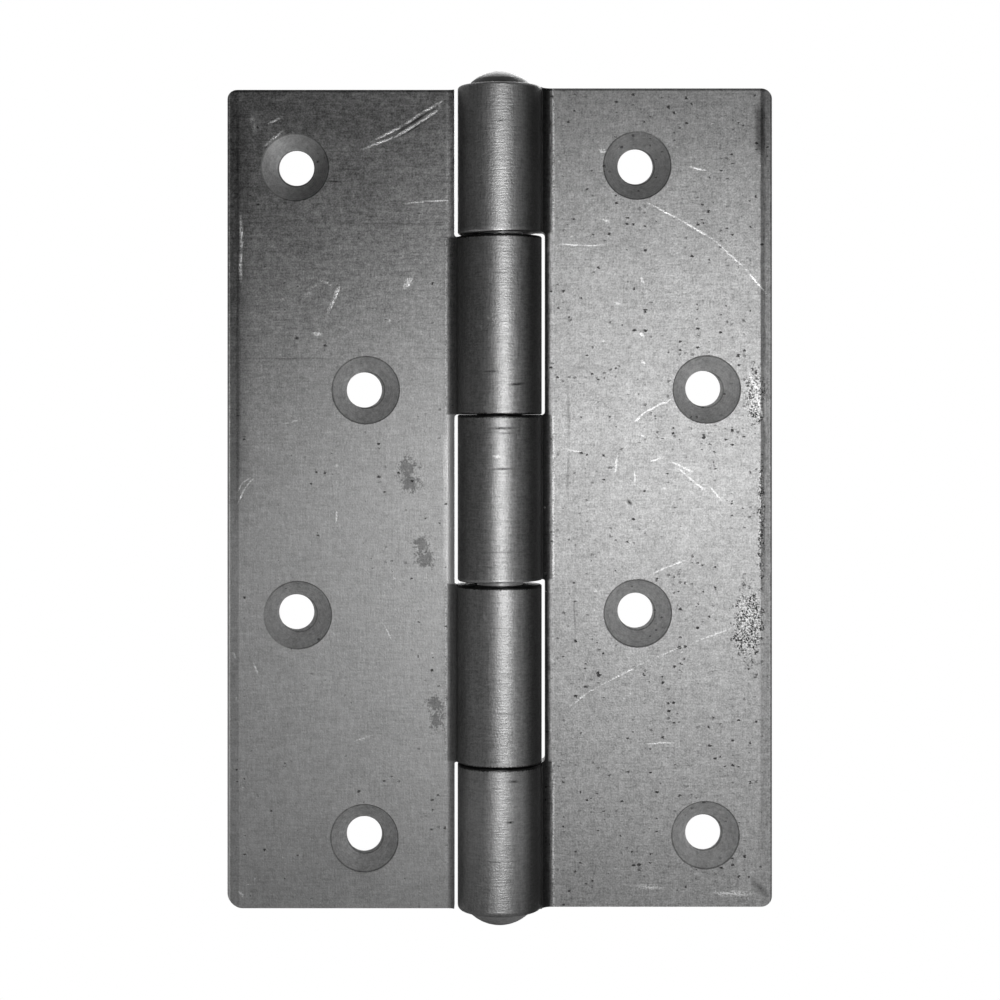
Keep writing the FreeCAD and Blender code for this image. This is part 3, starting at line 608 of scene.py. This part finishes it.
MATS = {"leaf_right": steel_leaf(1), "leaf_left": steel_leaf(-1), "pin": steel_pin()}
for name, mat in MATS.items():
    ob = NODES[name]
    if not ob.material_slots:
        ob.data.materials.append(mat)
    for s in ob.material_slots:
        s.material = mat

# ------------------------------------------------------------------ stage
scene = bpy.context.scene


def world():
    w = bpy.data.worlds.new("studio")
    scene.world = w
    w.use_nodes = True
    w.node_tree.nodes.clear()
    G = Graph(w.node_tree)
    out = G.node("ShaderNodeOutputWorld")
    tc = G.node("ShaderNodeTexCoord")
    dx, dy, dz = G.sep(tc.outputs["Generated"])
    # a dark room in front, a pale tent behind and above
    lum = G.add(ROOM_FRONT, G.mul(G.band(dy, -0.05, 0.75), ROOM_BACK))
    lum = G.add(lum, G.mul(G.band(dz, 0.35, 1.0), ROOM_TOP))
    room = G.node("ShaderNodeBackground")
    G.l.new(G.grey(lum), room.inputs[0])
    room.inputs[1].default_value = 1.0
    white = G.node("ShaderNodeBackground")
    white.inputs[0].default_value = (1, 1, 1, 1)
    white.inputs[1].default_value = 1.0
    lp = G.node("ShaderNodeLightPath")
    mix = G.node("ShaderNodeMixShader")
    G.l.new(lp.outputs["Is Camera Ray"], mix.inputs[0])
    G.l.new(room.outputs[0], mix.inputs[1])
    G.l.new(white.outputs[0], mix.inputs[2])
    G.l.new(mix.outputs[0], out.inputs[0])


ROOM_FRONT = 0.012
ROOM_BACK = 0.42
ROOM_TOP = 0.04
world()


def floor():
    """A pale floor under the lower end of the barrel."""
    z = CAD_BOX[0][2] - 0.0005
    me = bpy.data.meshes.new("floor")
    me.from_pydata([(-3, -3, z), (3, -3, z), (3, 3, z), (-3, 3, z)], [], [(0, 1, 2, 3)])
    o = bpy.data.objects.new("floor", me)
    scene.collection.objects.link(o)
    m = bpy.data.materials.new("floor_paper")
    m.use_nodes = True
    m.node_tree.nodes.clear()
    G = Graph(m.node_tree)
    out = G.node("ShaderNodeOutputMaterial")
    dif = G.node("ShaderNodeBsdfDiffuse")
    dif.inputs[0].default_value = (0.55, 0.55, 0.55, 1)
    em = G.node("ShaderNodeEmission")
    em.inputs[0].default_value = (1, 1, 1, 1)
    em.inputs[1].default_value = 1.0
    lp = G.node("ShaderNodeLightPath")
    mix = G.node("ShaderNodeMixShader")
    G.l.new(lp.outputs["Is Camera Ray"], mix.inputs[0])
    G.l.new(dif.outputs[0], mix.inputs[1])
    G.l.new(em.outputs[0], mix.inputs[2])
    G.l.new(mix.outputs[0], out.inputs[0])
    me.materials.append(m)


floor()


def area(name, loc, target, size, size_y, power):
    l = bpy.data.lights.new(name, "AREA")
    l.shape = "RECTANGLE"
    l.size = size
    l.size_y = size_y
    l.energy = power
    o = bpy.data.objects.new(name, l)
    scene.collection.objects.link(o)
    o.location = loc
    o.rotation_mode = "QUATERNION"
    o.rotation_quaternion = (Vector(target) - Vector(loc)).to_track_quat("-Z", "Y")
    return o


def around(azimuth, elevation, radius):
    a, e = math.radians(azimuth), math.radians(elevation)
    return (radius * math.sin(a) * math.cos(e), -radius * math.cos(a) * math.cos(e),
            radius * math.sin(e))


CAM_Z = (497.6 - 410.0) * 0.18622 * MM
DIST = 0.400
FACE_Y = 1.25 * MM

# key beside the camera, weak fill low on the left, soft light for the back
area("key", (0.068, FACE_Y - 0.31, -0.004), (0.03, 0, 0.005), 0.075, 0.045, 0.245)
area("fill", around(-24, -20, 0.6), (0, 0, 0), 0.35, 0.15, 0.22)
area("back", around(165, 25, 0.7), (0, 0, 0), 0.5, 0.5, 2.6)

cam = bpy.data.cameras.new("camera")
cam.sensor_width = 36.0
cam.sensor_fit = "HORIZONTAL"
cam.lens = 36.0 * DIST / (1000 * 0.18622 * MM)
# the principal point is above the middle of the frame
cam.shift_x = 0.0
cam.shift_y = -(500.0 - 410.0) / 1000.0
camo = bpy.data.objects.new("camera", cam)
scene.collection.objects.link(camo)
camo.location = ((500.0 - 499.7) * 0.18622 * MM, FACE_Y - DIST, CAM_Z)
camo.rotation_euler = (math.radians(90), 0, 0)
cam.clip_start = 0.01
cam.clip_end = 20.0
scene.camera = camo

scene.view_settings.view_transform = "Standard"
scene.view_settings.look = "None"
scene.view_settings.exposure = 0.0
scene.view_settings.gamma = 1.0
